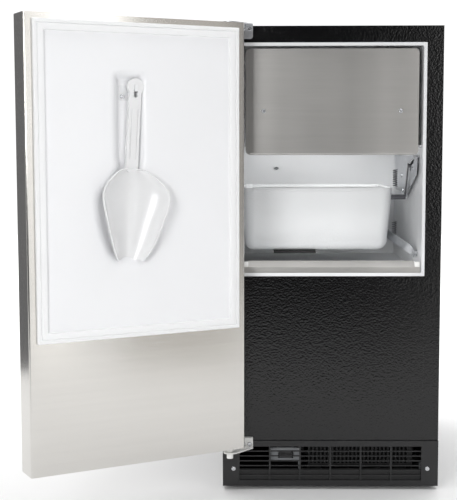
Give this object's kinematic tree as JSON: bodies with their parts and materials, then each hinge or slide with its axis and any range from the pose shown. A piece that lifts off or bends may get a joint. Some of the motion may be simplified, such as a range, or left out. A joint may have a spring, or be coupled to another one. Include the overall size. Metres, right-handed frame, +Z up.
{
  "type": "ice maker",
  "caption": "Narrow undercounter ice maker with a hinged insulated door, hanging scoop, tilting ice bin, toe-kick louvre and a machine room below.",
  "frame": {"origin": "on the floor, under the middle of the cabinet front face", "axes": "+X to the right seen from the front, +Y into the cabinet, +Z up"},
  "size_m": [0.7006, 0.8146, 0.8094],
  "materials": {
    "black_sheet": "leather-grain black vinyl-coated steel",
    "galvanised": "galvanised",
    "brushed_steel": "brushed",
    "white_plastic": "satin",
    "white_bin": "satin",
    "foam": "foamed",
    "black_plastic": "satin",
    "gasket_vinyl": "soft",
    "black_rubber": "matt",
    "copper": "drawn tube",
    "grey_plastic": "satin",
    "black_enamel": "gloss",
    "clear_plastic": "translucent",
    "fan_aluminium": "plain",
    "screw_steel": "bright"
  },
  "bodies": {
    "cabinet": {"side_panel_left": "black_sheet", "side_panel_right": "black_sheet", "top_panel": "black_sheet", "lower_front_panel": "black_sheet", "rear_panel": "galvanised", "base_pan": "black_enamel", "insulation_foam": "foam", "liner": "white_plastic", "sill_trim": "brushed_steel", "evaporator_cover": "brushed_steel", "compartment_screws": "screw_steel", "evaporator_frame": "white_plastic", "evaporator_plate": "brushed_steel", "evaporator_coil": "copper", "cutter_grid": "brushed_steel", "water_trough": "white_plastic", "water_tube": "white_plastic", "circulation_pump": "grey_plastic", "pump_hose": "clear_plastic", "bin_bracket": "galvanised", "bin_pivot_pins": "screw_steel", "bin_thermostat": "grey_plastic", "upper_hinge": "galvanised", "lower_hinge": "white_plastic", "hinge_screws": "screw_steel", "louvre_grille": "black_plastic", "grille_screws": "screw_steel", "switch_plate": "grey_plastic", "compressor": "black_enamel", "compressor_grommets": "black_rubber", "filter_drier": "copper", "condenser": "black_enamel", "fan_shroud": "black_enamel", "fan_motor": "black_enamel", "control_box": "galvanised", "water_valve": "grey_plastic", "drain_tube": "grey_plastic", "power_inlet": "black_plastic"},
    "bin": {"bin_tub": "white_bin", "bin_seal": "black_rubber", "bin_arm_left": "galvanised", "bin_arm_right": "galvanised", "bin_guide": "black_enamel", "bin_screws": "screw_steel"},
    "door": {"door_skin": "brushed_steel", "door_foam": "foam", "door_liner": "white_plastic", "door_gasket": "gasket_vinyl", "door_top_plate": "galvanised", "hinge_bushings": "white_plastic", "door_screws": "screw_steel", "scoop_holder": "white_plastic", "door_handle": "brushed_steel"},
    "scoop": {"scoop": "clear_plastic"},
    "power_rocker": {"rocker_switch": "black_plastic"},
    "fan": {"fan_blade": "fan_aluminium"},
    "foot_front_left": {"foot_front_left": "grey_plastic"},
    "foot_rear_left": {"foot_rear_left": "grey_plastic"},
    "foot_front_right": {"foot_front_right": "grey_plastic"},
    "foot_rear_right": {"foot_rear_right": "grey_plastic"}
  },
  "joints": [
    {"name": "door_hinge", "type": "hinge", "parent": "cabinet", "child": "door", "pos_m": [-0.176, -0.038, 0.45], "axis": [0, 0, 1], "range_deg": [0, 151.6]},
    {"name": "scoop_lift", "type": "slide", "parent": "door", "child": "scoop", "axis": [0, 0, 1], "range_m": [0, 0.008]},
    {"name": "bin_tilt", "type": "hinge", "parent": "cabinet", "child": "bin", "pos_m": [0, 0.05, 0.413], "axis": [1, 0, 0], "range_deg": [0, 15]},
    {"name": "power_switch", "type": "hinge", "parent": "cabinet", "child": "power_rocker", "pos_m": [-0.078, 0.01, 0.06], "axis": [0, 0, 1], "range_deg": [0, 14]},
    {"name": "fan_spin", "type": "hinge", "parent": "cabinet", "child": "fan", "pos_m": [0.055, 0.092, 0.108], "axis": [0, 1, 0], "continuous": true},
    {"name": "foot_front_left_height", "type": "slide", "parent": "cabinet", "child": "foot_front_left", "axis": [0, 0, -1], "range_m": [0, 0.025]},
    {"name": "foot_rear_left_height", "type": "slide", "parent": "cabinet", "child": "foot_rear_left", "axis": [0, 0, -1], "range_m": [0, 0.025]},
    {"name": "foot_front_right_height", "type": "slide", "parent": "cabinet", "child": "foot_front_right", "axis": [0, 0, -1], "range_m": [0, 0.025]},
    {"name": "foot_rear_right_height", "type": "slide", "parent": "cabinet", "child": "foot_rear_right", "axis": [0, 0, -1], "range_m": [0, 0.025]}
  ]
}
